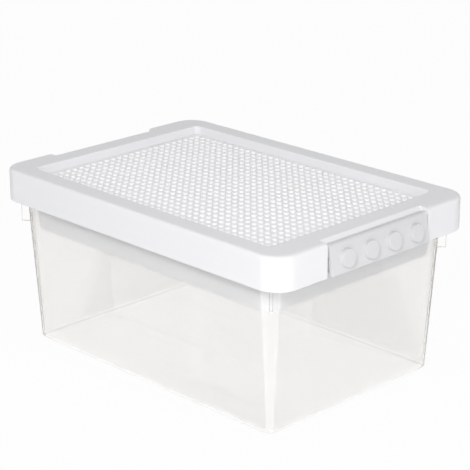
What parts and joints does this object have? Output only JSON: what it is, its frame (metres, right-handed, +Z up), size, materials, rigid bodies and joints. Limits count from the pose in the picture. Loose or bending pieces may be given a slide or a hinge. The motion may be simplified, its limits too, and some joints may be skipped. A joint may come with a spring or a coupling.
{
  "type": "building block storage box",
  "caption": "Clear lidded storage box for building blocks, with a divided lift-out tray, a studded building surface sunk in the lid, and a hinged latch at each short end.",
  "frame": {"origin": "centre of the bin's foot, on the surface that the box stands on", "axes": "+X along the box's length towards the right latch, +Y across it towards the back, +Z up"},
  "size_m": [0.3802, 0.248, 0.17],
  "materials": {
    "clear_plastic": "clear moulded plastic, glossy",
    "tray_plastic": "white moulded plastic, satin",
    "lid_plastic": "white moulded plastic, satin",
    "latch_plastic": "white moulded plastic, satin"
  },
  "bodies": {
    "bin": {"bin": "clear_plastic"},
    "tray": {"tray": "tray_plastic"},
    "lid": {"lid": "lid_plastic", "stud_plate": "lid_plastic"},
    "latch_left": {"latch_left": "latch_plastic"},
    "latch_right": {"latch_right": "latch_plastic"}
  },
  "joints": [
    {"name": "tray_lift", "type": "slide", "parent": "bin", "child": "tray", "axis": [0, 0, 1], "range_m": [0, 0.05]},
    {"name": "lid_lift", "type": "slide", "parent": "tray", "child": "lid", "axis": [0, 0, 1], "range_m": [0, 0.076]},
    {"name": "latch_left_hinge", "type": "hinge", "parent": "lid", "child": "latch_left", "pos_m": [-0.1785, 0, 0.1635], "axis": [0, 1, 0], "range_deg": [-7, 75]},
    {"name": "latch_right_hinge", "type": "hinge", "parent": "lid", "child": "latch_right", "pos_m": [0.1785, 0, 0.1635], "axis": [0, -1, 0], "range_deg": [-7, 75]}
  ]
}
